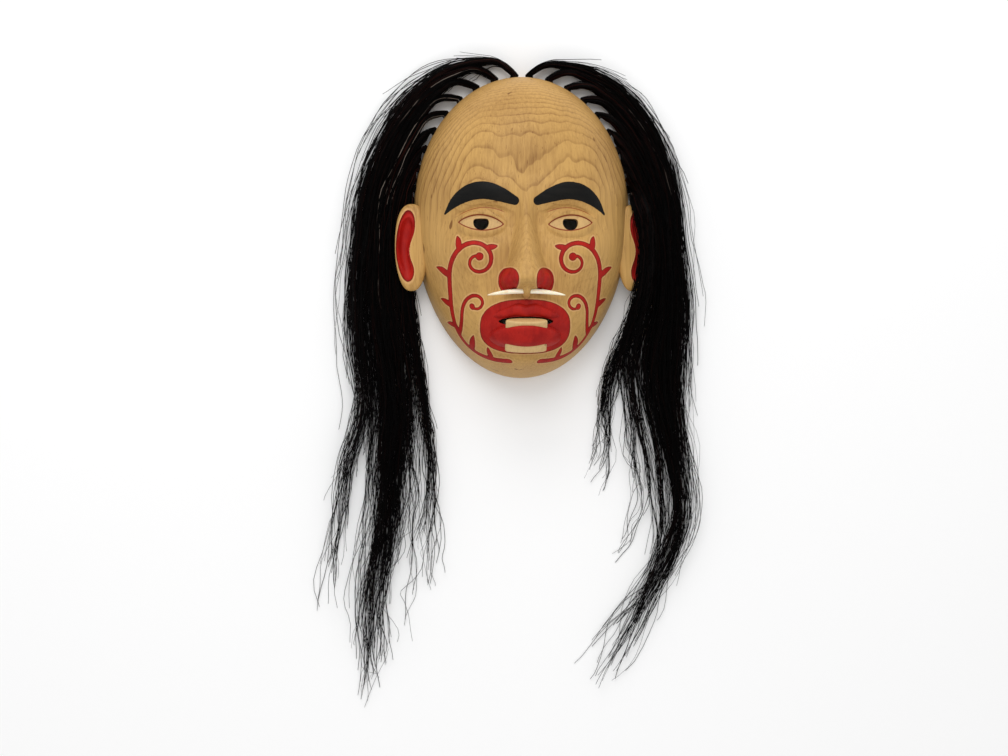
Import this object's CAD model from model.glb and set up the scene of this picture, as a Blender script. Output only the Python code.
# %% [markdown]
# A carved and painted wooden face mask with a lip plug, a bone nose pin and long black hair.
# It lies on its flat back edge, face up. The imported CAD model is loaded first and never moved:
# every piece made below takes its place from it, in metres, with +Y to the top of the head and
# +Z out of the face.

# %% Load the frame
import math

import bmesh
import bpy
import numpy as np
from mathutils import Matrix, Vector


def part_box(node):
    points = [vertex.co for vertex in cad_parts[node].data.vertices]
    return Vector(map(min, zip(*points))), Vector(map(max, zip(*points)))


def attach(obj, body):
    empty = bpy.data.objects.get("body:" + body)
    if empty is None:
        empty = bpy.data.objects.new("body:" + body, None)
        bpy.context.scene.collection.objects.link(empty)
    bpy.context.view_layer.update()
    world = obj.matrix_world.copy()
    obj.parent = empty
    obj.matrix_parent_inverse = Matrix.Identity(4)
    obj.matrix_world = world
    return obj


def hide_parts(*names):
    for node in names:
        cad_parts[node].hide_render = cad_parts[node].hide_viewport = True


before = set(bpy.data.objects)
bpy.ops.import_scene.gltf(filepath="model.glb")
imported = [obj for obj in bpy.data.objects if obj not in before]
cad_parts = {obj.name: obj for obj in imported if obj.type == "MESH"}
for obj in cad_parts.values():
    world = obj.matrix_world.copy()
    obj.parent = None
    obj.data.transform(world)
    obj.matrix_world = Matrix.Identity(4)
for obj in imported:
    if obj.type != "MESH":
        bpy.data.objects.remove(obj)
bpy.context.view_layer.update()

MM = 0.001

# %% [markdown]
# The carving is worked out in millimetres about the middle of the face, as a carver would mark a
# block: a middle line, a brow line and a line for the mouth. Only two numbers come from the CAD
# model, the middle line and the top of the head.

# %% Where the face is
face_low, face_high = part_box("carved_face")
MIDDLE_X = (face_low[0] + face_high[0]) / 2 / MM
MIDDLE_Y = face_high[1] / MM - 120
print("Middle of the face, mm:", round(MIDDLE_X, 2), round(MIDDLE_Y, 2))


def to_frame(points):
    """Millimetres about the middle of the face, as metres in the frame."""
    return (np.asarray(points, float) + [MIDDLE_X, MIDDLE_Y, 0]) * MM


# %% [markdown]
# A head drawn by the book is three and a half units tall: half a unit of crown, then three equal
# units down to the brow, the nose base and the chin. An eye is a fifth of the width. Every
# feature below hangs on these numbers.

# %% Proportions
FACE_WIDTH = 172
FACE_HEIGHT = 240
WIDEST_Y = 12
DOME_DEPTH = 74
RIM_WALL = 10
FRONT_WALL = 8
CLEARANCE = 0.3

UPPER_HALF = FACE_HEIGHT / 2 - WIDEST_Y
LOWER_HALF = FACE_HEIGHT / 2 + WIDEST_Y
UNIT = FACE_HEIGHT / 3.5
BROW_Y = FACE_HEIGHT / 2 - 1.5 * UNIT
NOSE_BASE_Y = BROW_Y - UNIT
MOUTH_Y = NOSE_BASE_Y - UNIT / 3
EYE_X = FACE_WIDTH / 5
EYE_Y = -1
print("Brow, nose base and mouth at y =", [round(y, 1) for y in (BROW_Y, NOSE_BASE_Y, MOUTH_Y)])

# %% [markdown]
# Carved wood is one surface that swells and sinks. A plain dome gives the big shape, and smooth
# hills and caps are added to it: a hill fades out all round, and a cap ends at a clear edge.
# Functions of x and y are used instead of sculpting, because they give the same face every time
# and let the paint find the same places later.

# %% Hills, caps and steps


def hill(dx, dy):
    return np.exp(-(dx * dx + dy * dy))


def cap(dx, dy, power):
    return np.maximum(0, 1 - dx * dx - dy * dy) ** power


def step(start, end, value):
    """Rises smoothly from 0 to 1 as the value goes from start to end."""
    share = np.clip((value - start) / (end - start), 0, 1)
    return share * share * (3 - 2 * share)


def through(knots, value):
    """A smooth curve through knots, each a place and its height."""
    places, heights = np.array(sorted(knots), float).T
    slopes = np.gradient(heights, places)
    i = np.clip(np.searchsorted(places, value) - 1, 0, len(places) - 2)
    span = places[i + 1] - places[i]
    u = np.clip((value - places[i]) / span, 0, 1)
    rise = heights[i] + (heights[i + 1] - heights[i]) * u * u * (3 - 2 * u)
    leave = slopes[i] * span * u * (1 - u) ** 2
    arrive = slopes[i + 1] * span * u * u * (u - 1)
    return rise + leave + arrive


def dome_rise(reach, dy):
    """Height of the dome, 1 in the middle and 0 at the edge, along a direction's dy."""
    fullness = 2.5 + 2.4 * np.maximum(0, -dy) ** 2 + 1.2 * np.maximum(0, dy) ** 2
    return np.sqrt(np.maximum(0, 1 - reach**fullness))


def reach_of(x, y):
    """How far out a point lies, 0 in the middle and 1 at the outline, and its direction's dy."""
    across = x / (FACE_WIDTH / 2)
    up = (y - WIDEST_Y) / np.where(y > WIDEST_Y, UPPER_HALF, LOWER_HALF)
    reach = np.hypot(across, up)
    return reach, up / np.maximum(reach, 1e-9)


# %% [markdown]
# The broad forms come first: cheekbones, brow ridge, sunken sockets with the eyeballs in them,
# the muzzle and the chin. They are the same as in the CAD model, so that each carved piece stays
# where its solid is.

# %% Broad forms of the face


def broad_relief(x, y):
    side = abs(x)
    forms = 5.5 * hill((side - 46) / 24, (y + 22) / 18)  # cheekbones
    forms += 4 * hill((side - 30) / 36, (y - BROW_Y - 6) / 12)  # brow ridge
    forms -= 9 * hill((side - EYE_X + 2) / 19, (y - EYE_Y - 3) / 12)  # sockets
    forms += 6 * cap((side - EYE_X) / 20, (y - EYE_Y) / 11.5, 0.9)  # eyeballs
    forms += 8 * hill(x / 34, (y - MOUTH_Y + 2) / 24)  # muzzle
    forms += 9 * hill(x / 25, (y + FACE_HEIGHT / 2 - 13) / 13)  # chin
    forms -= 3 * hill(x / 22, (y - MOUTH_Y + 25) / 5)  # groove under the lip
    forms -= 3 * hill((side - 72) / 16, (y - 28) / 30)  # temples
    forms -= 1 * hill(x / 4, (y - NOSE_BASE_Y + 8) / 6)  # philtrum
    return forms


def face_z(x, y, relief=broad_relief):
    reach, dy = reach_of(x, y)
    rise = dome_rise(np.minimum(reach, 1), dy)
    return DOME_DEPTH * rise + relief(x, y) * step(0, 0.45, rise)


# %% [markdown]
# The finer forms are cut into the broad ones: an almond for each eye with lids round it, a fold
# above the lid, and a soft fold from the nose to the corner of the mouth.

# %% Eyes and folds
EYE_HALF_WIDTH = 17.2
LID_RISE = 1.9


def almond(x, y):
    """Distance in from the edge of the eye opening, negative outside it."""
    across = np.clip((abs(x) - EYE_X) / EYE_HALF_WIDTH, -1, 1)
    bow = (1 - across * across) ** 0.85
    upper = EYE_Y + across + 6.6 * bow - y
    lower = y - (EYE_Y + across - 5.6 * bow)
    beside = EYE_HALF_WIDTH - abs(abs(x) - EYE_X)
    return np.minimum(np.minimum(upper, lower) * 0.92, beside)


def above_lid(x, y):
    """Distance above the line where the upper lid folds."""
    across = (abs(x) - EYE_X + 1) / 18.5
    return y - (EYE_Y + 12.2 - 5.2 * across**2 - 0.8 * across)


def groove(distance, width):
    return np.exp(-((distance / width) ** 2))


def lids_and_folds(x, y):
    side = abs(x)
    inside = almond(x, y)
    thickness = LID_RISE * (0.8 + 0.2 * np.tanh((y - EYE_Y) / 3))
    lids = thickness * step(0.8, -0.7, inside) * step(-9, -1.5, inside)
    lids -= 1.3 * groove(above_lid(x, y) - 0.8, 1.3) * step(23, 16, abs(side - EYE_X))
    cheek_fold = side - (18 + 0.40 * np.clip(-44 - y, 0, 40))
    return lids - 1.2 * groove(cheek_fold, 3.4) * step(-38, -52, y) * step(-86, -70, y)


# %% [markdown]
# The nose is an arch that grows from the brow to the tip and drops steeply below it. A wing on
# each side and a narrow wall between the nostrils are rounded into it. Where two forms meet, a
# carver leaves a soft valley, so the higher of two heights is taken with its crease rounded.

# %% Nose
NOSE_SECTIONS = [  # y, half width, height above the face
    (30, 6, 0), (22, 6.5, 1.5), (12, 6.5, 4.5), (2, 6.5, 7.8), (-10, 7.5, 12), (-24, 9, 18.5),
    (-35, 11, 24), (-41, 12, 26.3), (-45, 12, 26), (-48.5, 10.5, 22), (-51.5, 9, 14),
    (-54, 7, 5), (-57, 6, 0),
]
NOSE_WIDTHS = [(y, width) for y, width, _ in NOSE_SECTIONS]
NOSE_HEIGHTS = [(y, height) for y, _, height in NOSE_SECTIONS]
NOSE_ROUNDNESS = [(30, 1.1), (-10, 1.2), (-30, 1.5), (-41, 1.9), (-57, 1.7)]
WING_X = 12.5
WING_Y = NOSE_BASE_Y + 6.5
WING_SIZE = (7.5, 8.5, 15)
WALL_SIZE = (4.3, 9, 17.5)


def rounded_top(first, second, softness):
    """The higher of two heights, with the crease between them rounded."""
    near = np.maximum(softness - abs(first - second), 0) / softness
    return np.maximum(first, second) + near * near * softness / 4


def nose_relief(x, y):
    at = np.clip(y, -57, 30)
    share = np.clip(abs(x) / (1.62 * through(NOSE_WIDTHS, at)), 0, 1)
    bell = 0.5 + 0.5 * np.cos(math.pi * share ** through(NOSE_ROUNDNESS, at))
    ridge = through(NOSE_HEIGHTS, at) * bell
    half_width, half_height, height = WING_SIZE
    wings = height * cap((abs(x) - WING_X) / half_width, (y - WING_Y) / half_height, 0.55)
    half_width, half_height, height = WALL_SIZE
    wall = height * cap(x / half_width, (y - NOSE_BASE_Y - 1) / half_height, 0.5)
    return rounded_top(rounded_top(ridge, wings, 3.5), wall, 3)


def fine_relief(x, y):
    return broad_relief(x, y) + lids_and_folds(x, y) + nose_relief(x, y)


# %% [markdown]
# To turn a height function into a closed solid, a square grid is bent over the oval outline: its
# border becomes the rim, and a flat floor closes it. Even spacing would waste most of the faces
# on the plain forehead, so the grid lines are drawn closer together over the eyes, nose and mouth.

# %% A grid over the oval


def crowded(count, knots):
    """Places from -1 to 1, closer together where the knots are flatter."""
    even = np.linspace(-1, 1, count + 1)
    ends = np.array(knots, float)
    return np.interp(even, ends[:, 0], ends[:, 1])


def soften(places, rounds=40):
    """Evens out sudden changes of spacing and keeps both ends."""
    for _ in range(rounds):
        places[1:-1] = (places[:-2] + 2 * places[1:-1] + places[2:]) / 4
    return places


def round_grid(columns, rows):
    """A square grid drawn into a disc: how far out each point lies, and its direction."""
    u, v = np.meshgrid(columns, rows)
    p = u * np.sqrt(1 - v * v / 2)
    q = v * np.sqrt(1 - u * u / 2)
    r = np.minimum(1, np.hypot(p, q))
    dx = np.divide(p, r, out=np.zeros_like(p), where=r > 0)
    dy = np.divide(q, r, out=np.zeros_like(q), where=r > 0)
    return np.sin(r * math.pi / 2), dx, dy


def oval_solid(columns, rows, inset, depth, relief, floor):
    """Points and faces of a dome over the outline, closed by a flat floor."""
    reach, dx, dy = round_grid(columns, rows)
    half_height = np.where(dy > 0, UPPER_HALF, LOWER_HALF)
    x = (FACE_WIDTH / 2 - inset) * reach * dx
    y = WIDEST_Y + (half_height - inset) * reach * dy
    rise = dome_rise(reach, dy)
    z = depth * rise + relief(x, y) * step(0, 0.45, rise)
    return closed_grid(np.stack([x, y, z], axis=-1), floor)


def closed_grid(points, floor):
    """A grid of points as a solid: its border drops to the floor, and a fan closes it."""
    rows, columns = points.shape[:2]
    index = np.arange(rows * columns).reshape(rows, columns)
    quads = np.stack(
        [index[:-1, :-1], index[:-1, 1:], index[1:, 1:], index[1:, :-1]], axis=-1
    ).reshape(-1, 4)
    border = np.concatenate(
        [index[0, :-1], index[:-1, -1], index[-1, :0:-1], index[:0:-1, 0]]
    )
    points = points.reshape(-1, 3).copy()
    points[border, 2] = floor
    return points, quads.tolist() + [border[::-1].tolist()]


def placed(name, data):
    """A new object in the scene, at the origin."""
    thing = bpy.data.objects.new(name, data)
    bpy.context.scene.collection.objects.link(thing)
    return thing


def new_object(name, points, faces):
    mesh = bpy.data.meshes.new(name)
    mesh.from_pydata(to_frame(points).tolist(), [], faces)
    mesh.validate()
    return placed(name, mesh)


columns = soften(crowded(236, [(-1, -1), (-0.7, -0.42), (0.7, 0.42), (1, 1)]))
rows = soften(crowded(300, [(-1, -1), (-0.86, -0.7), (0.36, 0.1), (1, 1)]))
front = new_object("face_front", *oval_solid(columns, rows, 0, DOME_DEPTH, fine_relief, 0))
print("Front of the face:", len(front.data.polygons), "faces")

# %% [markdown]
# The lips are steep-sided forms that a height function on an even grid would draw with ragged
# edges. Each is made as its own small solid on a grid that fits it, and joined to the face
# afterwards, the way a carver first blocks them out.

# %% Lips
UPPER_LIP_Y = MOUTH_Y + 4.5
UPPER_LIP_SIZE = (26, 5, 5.5)
LOWER_LIP_Y = MOUTH_Y - 14
LOWER_LIP_SIZE = (28, 10, 12)
PAD_SINK = 0.3  # mm that a pad's edge starts under the face
PAD_FOOT = 14  # and that its foot reaches into the wood


def pad_solid(y0, size, bend, columns, rows, squareness):
    """A raised oval pad on the face, with its foot sunk into the wood."""
    half_width, half_height, height = size
    reach, dx, dy = round_grid(np.linspace(-1, 1, columns), np.linspace(-1, 1, rows))
    x = half_width * (reach * dx)
    y = y0 + half_height * (reach * dy) + bend(x)
    rise = np.sqrt(np.maximum(0, 1 - reach**squareness))
    z = face_z(x, y) + height * rise - PAD_SINK
    return closed_grid(np.stack([x, y, z], axis=-1), float(face_z(0, y0)) - PAD_FOOT)


def cupids_bow(x):
    return 2.4 * np.exp(-(((abs(x) - 7) / 7) ** 2)) - 1.5 * (x / 20) ** 2


def straight(x):
    return 0 * x


added_forms = [
    new_object("upper_lip", *pad_solid(UPPER_LIP_Y, UPPER_LIP_SIZE, cupids_bow, 70, 26, 3.2)),
    new_object("lower_lip", *pad_solid(LOWER_LIP_Y, LOWER_LIP_SIZE, straight, 70, 34, 5)),
]

# %% [markdown]
# An ear is a thick oval leaf with a rolled rim and a bean-shaped hollow. Its two skins are drawn
# in rings round the same middle, and the front one sinks where the hollow is.

# %% Ears
EAR_HEIGHT = UNIT
EAR_WIDTH = 27
EAR_THICKNESS = 9
EAR_Z = 23
EAR_X = FACE_WIDTH / 2 + 1.5
EAR_Y = BROW_Y - EAR_HEIGHT / 2
EAR_TURN = math.radians(14)
EAR_RINGS = 28
EAR_SPOKES = 110


def bean(a, b):
    """Above 0 inside the hollow of the ear, 1 at its deepest and below 0 outside it."""
    bend = 1.4 * np.cos(b / EAR_HEIGHT * math.pi * 2.2)
    lobe = 1.9 * hill((a + 4.5) / 5.6, (b + 3) / 9)
    ends = abs((b - 1) / (0.4 * EAR_HEIGHT)) ** 3.2
    return 1 - ((a - 3.2 - bend) / 7.2) ** 2 - ends - lobe


def ear_skin(a, b, roll):
    """Height of the ear's front, with its hollow and the inner fold that follows the rim."""
    share = bean(a, b)
    sunk = np.maximum(share, 0) ** 0.55
    inner_fold = 2.2 * groove(share - 0.42, 0.16) * step(-24, -6, b)
    return roll * (1 - 1.45 * sunk) + inner_fold


def ear_solid(side):
    reach = np.sin(np.arange(1, EAR_RINGS + 1) / EAR_RINGS * math.pi / 2)[:, None]
    angle = np.arange(EAR_SPOKES)[None, :] / EAR_SPOKES * 2 * math.pi
    lobe = 1 - 0.12 * step(0, 1, -np.sin(angle))
    blunt = (abs(np.cos(angle)) ** 2.5 + abs(np.sin(angle)) ** 2.5) ** (-1 / 2.5)
    a = 0.5 * EAR_WIDTH * reach * blunt * np.cos(angle) * lobe
    b = 0.5 * EAR_HEIGHT * reach * blunt * np.sin(angle)
    roll = EAR_THICKNESS / 2 * np.sqrt(np.maximum(0, 1 - reach**5)) + 0 * a
    points = []
    faces = []
    for front_skin in (True, False):
        first = len(points)
        if front_skin:
            depth = ear_skin(a, b, roll)
            middle = float(ear_skin(0.0, 0.0, EAR_THICKNESS / 2))
        else:
            depth = -roll
            middle = -EAR_THICKNESS / 2
        points.append((0, 0, middle))
        points += np.stack([a, b, depth], axis=-1).reshape(-1, 3).tolist()
        for r in range(EAR_RINGS):
            for s in range(EAR_SPOKES):
                t = (s + 1) % EAR_SPOKES
                outer = [first + 1 + r * EAR_SPOKES + s, first + 1 + r * EAR_SPOKES + t]
                if r == 0:
                    face = [first] + outer
                else:
                    face = [outer[0] - EAR_SPOKES, outer[0], outer[1], outer[1] - EAR_SPOKES]
                faces.append(face if front_skin == (side > 0) else face[::-1])
    a, b, c = np.array(points).T
    x = EAR_X + a * math.cos(EAR_TURN) + c * math.sin(EAR_TURN)
    z = EAR_Z - a * math.sin(EAR_TURN) + c * math.cos(EAR_TURN)
    return np.stack([side * x, EAR_Y + b, z], axis=-1), faces


def weld(piece):
    """Merges points that lie on each other, and turns every face outwards."""
    bm = bmesh.new()
    bm.from_mesh(piece.data)
    bmesh.ops.remove_doubles(bm, verts=bm.verts, dist=0.02 * MM)
    bmesh.ops.recalc_face_normals(bm, faces=bm.faces)
    bm.to_mesh(piece.data)
    bm.free()
    return piece


for side in (-1, 1):
    added_forms.append(weld(new_object("ear", *ear_solid(side))))

# %% [markdown]
# Everything that is cut away is made as a solid too: the hollow behind, the pupils, the gap
# between the lips, the nostrils, the holes for the plug and the pin, and one peg hole for each
# lock of hair. Cutters that touch nothing of each other can be cut in one go.

# %% The hollow behind the face
ADZE_DEPTH = 0.55
INNER_DEPTH = DOME_DEPTH - FRONT_WALL


def inner_relief(x, y):
    """Room for the nose, and shallow marks of a curved adze over the whole hollow."""
    nose_room = 7 * hill(x / 14, (y - NOSE_BASE_Y - 20) / 22)
    marks = ADZE_DEPTH * np.sin(x / 4.2 + 1.4 * np.sin(y / 17)) * np.sin(y / 8.5 + np.sin(x / 13))
    return nose_room + marks


columns, rows = np.linspace(-1, 1, 61), np.linspace(-1, 1, 81)
hollow = new_object("hollow", *oval_solid(columns, rows, RIM_WALL, INNER_DEPTH, inner_relief, -2))

# %% Pupils, mouth gap and nostrils
PIN_Y = NOSE_BASE_Y - 2.2
PIN_Z = float(face_z(0, NOSE_BASE_Y - 6)) + 9
PUPIL_RADIUS = 6
LID_SHARE = 0.55  # of the radius, where the lid covers the pupil
GAP_SIZE = (21, 3.6)
NOSTRIL_SIZE = (3.6, 3.2, 13)


def tube(rings):
    """Points and faces of a closed solid whose skin joins rings of equal size."""
    count = len(rings[0])
    points = np.concatenate(rings)
    faces = []
    for r in range(len(rings) - 1):
        for s in range(count):
            t = (s + 1) % count
            faces.append([r * count + s, r * count + t, (r + 1) * count + t, (r + 1) * count + s])
    last = (len(rings) - 1) * count
    faces += [list(range(count))[::-1], list(range(last, last + count))]
    return points, faces


def prism(name, outline, low, high):
    """A flat outline as a solid between two heights."""
    return new_object(name, *tube([[(x, y, z) for x, y in outline] for z in (low, high)]))


def ball(name, centre, size, turn):
    """An ellipsoid, turned and set in its place."""
    bm = bmesh.new()
    bmesh.ops.create_uvsphere(bm, u_segments=24, v_segments=20, radius=1)
    points = np.array([vertex.co[:] for vertex in bm.verts]) * size @ turn.T
    faces = [[vertex.index for vertex in face.verts] for face in bm.faces]
    bm.free()
    return new_object(name, points + np.array(centre), faces)


def under_the_lid(height):
    """Keeps the top of a pupil, as a share of its radius, below the lid, without a corner."""
    return -math.log(math.exp(-6 * height) + math.exp(-6 * LID_SHARE)) / 6


small_cutters = []
for side in (-1, 1):
    outline = [
        (side * EYE_X + PUPIL_RADIUS * math.cos(a),
         EYE_Y + 0.5 + PUPIL_RADIUS * under_the_lid(math.sin(a)))
        for a in np.linspace(0, 2 * math.pi, 56, endpoint=False)
    ]
    small_cutters.append(prism("pupil", outline, 35, 95))
    tip, swing = math.radians(60), math.radians(-8 * side)
    pitch = np.array([
        [1, 0, 0], [0, math.cos(tip), -math.sin(tip)], [0, math.sin(tip), math.cos(tip)]
    ])
    yaw = np.array([
        [math.cos(swing), -math.sin(swing), 0], [math.sin(swing), math.cos(swing), 0], [0, 0, 1]
    ])
    nostril_place = (side * 8.2, NOSE_BASE_Y - 3.5, PIN_Z - 1)
    small_cutters.append(ball("nostril", nostril_place, NOSTRIL_SIZE, yaw @ pitch))
mouth_outline = [
    (GAP_SIZE[0] * math.cos(a), MOUTH_Y - 2.2 + GAP_SIZE[1] * math.sin(a))
    for a in np.linspace(0, 2 * math.pi, 60, endpoint=False)
]
small_cutters.append(prism("mouth_gap", mouth_outline, 40, 100))

# %% [markdown]
# The locks of hair are pegged along the upper edge. Their roots are spaced evenly along the oval,
# so the outline is walked from the top of the head and its length is summed up on the way.

# %% Peg holes
LOCK_COUNT = 9
FIRST_ROOT = 6.5
ROOT_SPACING = 16
ROOT_Z = 9
ROOT_DEPTH = 7
STEM_RADIUS = 2.7


def outline_point(angle):
    return np.array([FACE_WIDTH / 2 * math.sin(angle), WIDEST_Y + UPPER_HALF * math.cos(angle)])


outline_angles = np.linspace(0, math.pi / 2, 401)
outline_points = np.array([outline_point(angle) for angle in outline_angles])
outline_arcs = np.concatenate(
    [[0], np.cumsum(np.linalg.norm(np.diff(outline_points, axis=0), axis=1))]
)


def beside_outline(side, arc, offset):
    """A point so far along the outline from the top, and so far out from it."""
    angle = np.interp(arc, outline_arcs, outline_angles)
    normal = np.array([UPPER_HALF * math.sin(angle), FACE_WIDTH / 2 * math.cos(angle)])
    point = outline_point(angle) + offset * normal / np.linalg.norm(normal)
    return np.array([side * point[0], point[1]])


def peg_hole(side, arc):
    start = np.append(beside_outline(side, arc, -ROOT_DEPTH - 1), ROOT_Z)
    end = np.append(beside_outline(side, arc, 6), ROOT_Z)
    along = (end - start) / np.linalg.norm(end - start)
    across = np.cross(along, (0, 0, 1))
    turns = np.linspace(0, 2 * math.pi, 20, endpoint=False)
    radius = STEM_RADIUS + 2 * CLEARANCE
    ring = [radius * (math.cos(t) * across + math.sin(t) * np.array([0, 0, 1])) for t in turns]
    rings = [[place + offset for offset in ring] for place in (start, end)]
    return weld(new_object("peg_hole", *tube(rings)))


for side in (-1, 1):
    for k in range(LOCK_COUNT):
        small_cutters.append(peg_hole(side, FIRST_ROOT + k * ROOT_SPACING))
print(len(small_cutters), "small cutters")

# %% [markdown]
# The lip plug is a straight oval peg with eased ends that leans back with the lip, and the nose pin
# is a spindle that droops towards its points. Each is made once for itself and once, a little
# larger, for its hole.

# %% Lip plug and nose pin
PLUG_WIDTH = 32
PLUG_DEPTH = 8
PLUG_LEAN = math.radians(30)
PLUG_WALL = 4.5  # of lip in front of the plug
PLUG_TOP = 3  # how far it stands out above the lower lip
PLUG_BOTTOM = 1  # and below it
PLUG_LENGTH = 2 * LOWER_LIP_SIZE[1] / math.cos(PLUG_LEAN) + PLUG_TOP + PLUG_BOTTOM
PLUG_SHIFT = (PLUG_TOP - PLUG_BOTTOM) / 2
PLUG_Z = float(face_z(0, LOWER_LIP_Y)) + LOWER_LIP_SIZE[2] - PLUG_WALL - PLUG_DEPTH / 2
PIN_LENGTH = 60
PIN_RADIUS = 2
PIN_DROP = 3


def plug_solid(extra):
    half = PLUG_LENGTH / 2 + extra
    turns = np.linspace(0, 2 * math.pi, 72, endpoint=False)
    rings = []
    eases = [(1.2, 0), (0.75, 0.12), (0.35, 0.45), (0.1, 0.85), (0, 1.3)]
    places = [(-half + down, inward) for inward, down in eases]
    places += [(y, 0) for y in np.linspace(-half + 2.2, half - 2.2, 9)]
    places += [(half - down, inward) for inward, down in eases[::-1]]
    for y, inward in places:
        width = PLUG_WIDTH / 2 + extra - inward
        depth = PLUG_DEPTH / 2 + extra - inward
        front = depth * np.sin(turns)
        along = y + PLUG_SHIFT
        rings.append(np.column_stack([
            width * np.cos(turns),
            LOWER_LIP_Y + along * math.cos(PLUG_LEAN) - front * math.sin(PLUG_LEAN),
            PLUG_Z + along * math.sin(PLUG_LEAN) + front * math.cos(PLUG_LEAN),
        ]))
    return tube(rings)


def pin_solid(extra):
    half = PIN_LENGTH / 2 + extra
    turns = np.linspace(0, 2 * math.pi, 28, endpoint=False)
    rings = []
    for share in np.linspace(-0.9995, 0.9995, 64):
        radius = (PIN_RADIUS + extra) * (1 - share * share) ** 0.55
        y = PIN_Y - PIN_DROP * share * share
        z = PIN_Z - 1.5 * PIN_DROP * share * share
        ring = [(share * half, y + radius * math.cos(t), z + radius * math.sin(t)) for t in turns]
        rings.append(np.array(ring))
    return tube(rings)


lip_plug = weld(new_object("lip_plug_peg", *plug_solid(0)))
nose_pin = weld(new_object("nose_pin_bone", *pin_solid(0)))
fitted_holes = [
    weld(new_object("plug_hole", *plug_solid(CLEARANCE))),
    weld(new_object("pin_hole", *pin_solid(CLEARANCE))),
]

# %% [markdown]
# Now the pieces are joined and cut. Each operation is a Boolean modifier on a closed solid, which
# is quick and leaves a closed solid. It is evaluated at once, so that nothing live is left on the
# face.

# %% Join and cut


def merged(pieces, name):
    """Several separate solids as one object."""
    bm = bmesh.new()
    for piece in pieces:
        bm.from_mesh(piece.data)
    mesh = bpy.data.meshes.new(name)
    bm.to_mesh(mesh)
    bm.free()
    for piece in pieces:
        bpy.data.objects.remove(piece)
    return placed(name, mesh)


def plain_mesh(piece):
    """The piece's mesh as its modifiers make it, with the modifiers gone."""
    depsgraph = bpy.context.evaluated_depsgraph_get()
    mesh = bpy.data.meshes.new_from_object(piece.evaluated_get(depsgraph))
    piece.modifiers.clear()
    piece.data = mesh
    return piece


def combine(piece, tool, operation):
    cut = piece.modifiers.new("cut", "BOOLEAN")
    cut.object = tool
    cut.operation = operation
    cut.solver = "MANIFOLD"
    plain_mesh(piece)
    bpy.data.objects.remove(tool)
    return piece


carved = combine(front, merged(added_forms, "added_forms"), "UNION")
carved = combine(carved, hollow, "DIFFERENCE")
carved = combine(carved, merged(small_cutters, "small_holes"), "DIFFERENCE")
for hole in fitted_holes:
    carved = combine(carved, hole, "DIFFERENCE")
carved.name = "carved_wood_face"
carved.data.calc_loop_triangles()
points, triangles = len(carved.data.vertices), len(carved.data.loop_triangles)
print("Carved face:", points, "points,", triangles, "triangles")

# %% [markdown]
# Paint follows the carving, so it is worked out from the same millimetres: for every point of the
# surface, how far inside a painted shape it lies. The material later turns that distance into a
# crisp edge, which stays sharp however coarse the mesh is. A shape is an oval or a brush stroke
# along a line.

# %% Distances to painted shapes
FAR = -9.0
vertex_count = len(carved.data.vertices)
places = np.empty(vertex_count * 3)
carved.data.vertices.foreach_get("co", places)
surface = places.reshape(-1, 3) / MM - [MIDDLE_X, MIDDLE_Y, 0]
px, py, pz = surface.T
on_ear = abs(px) > FACE_WIDTH / 2 - 2
outside = (pz > face_z(px, py) - 1.2) | on_ear


def stroke(line, widths):
    """Distance inside a brush stroke that lies on the surface, with half widths along its line."""
    inside = np.full(vertex_count, FAR)
    reach = max(widths) + 4
    near = np.all([px > line[:, 0].min() - reach, px < line[:, 0].max() + reach,
                   py > line[:, 1].min() - reach, py < line[:, 1].max() + reach], axis=0)
    at = surface[near]
    line = np.column_stack([line, face_z(*line.T, fine_relief)])
    best = np.full(len(at), FAR)
    for a, b, width_a, width_b in zip(line[:-1], line[1:], widths[:-1], widths[1:]):
        span = b - a
        share = np.clip((at - a) @ span / max(span @ span, 1e-9), 0, 1)
        gap = np.linalg.norm(at - a - share[:, None] * span, axis=1)
        best = np.maximum(best, width_a + (width_b - width_a) * share - gap)
    inside[near] = best
    return inside


def oval(x0, y0, half_width, half_height, squareness):
    """Distance inside a rounded oval."""
    across = np.maximum(abs(px - x0) / half_width, 1e-6)
    up = np.maximum(abs(py - y0) / half_height, 1e-6)
    size = (across**squareness + up**squareness) ** (1 / squareness)
    return np.clip(np.hypot(px - x0, py - y0) * (1 / size - 1), FAR, 9)


# %% [markdown]
# The ornament on the cheeks is common leafy scrollwork. A stem climbs along the jaw and curls
# into a spiral that ends in a bud, with a smaller curl beside it and pointed leaves on the way.
# Each line is drawn by its bend: a bend that stays the same draws an arc, and one that grows
# draws a spiral. Both cheeks get the same strokes, mirrored.

# %% Stems, curls and leaves
red = np.full(vertex_count, FAR)


def bent_line(start, heading, length, bends, steps):
    """A line from a start and heading, in degrees, with its bend given along it, per mm."""
    bend = np.interp(np.linspace(0, 1, steps), np.linspace(0, 1, len(bends)), bends)
    stride = length / (steps - 1)
    headings = math.radians(heading) + np.append(0, np.cumsum((bend[1:] + bend[:-1]) / 2 * stride))
    middle = (headings[1:] + headings[:-1]) / 2
    x = start[0] + np.append(0, np.cumsum(np.cos(middle) * stride))
    y = start[1] + np.append(0, np.cumsum(np.sin(middle) * stride))
    return np.stack([x, y], axis=1), np.degrees(headings)


def paint_red(line, widths):
    for mirror in (1, -1):
        np.maximum(red, stroke(line * [mirror, 1], widths), out=red)


def stem(start, heading, length, bends, thick, thin, bud=0):
    line, headings = bent_line(start, heading, length, bends, 60)
    paint_red(line, np.linspace(thick, thin, len(line)))
    if bud:
        paint_red(line[-1] + np.array([[0, 0], [0.01, 0]]), [bud, bud])
    return line, headings


def place_on(branch, share):
    line, headings = branch
    at = round(share * (len(line) - 1))
    return line[at], headings[at]


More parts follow.
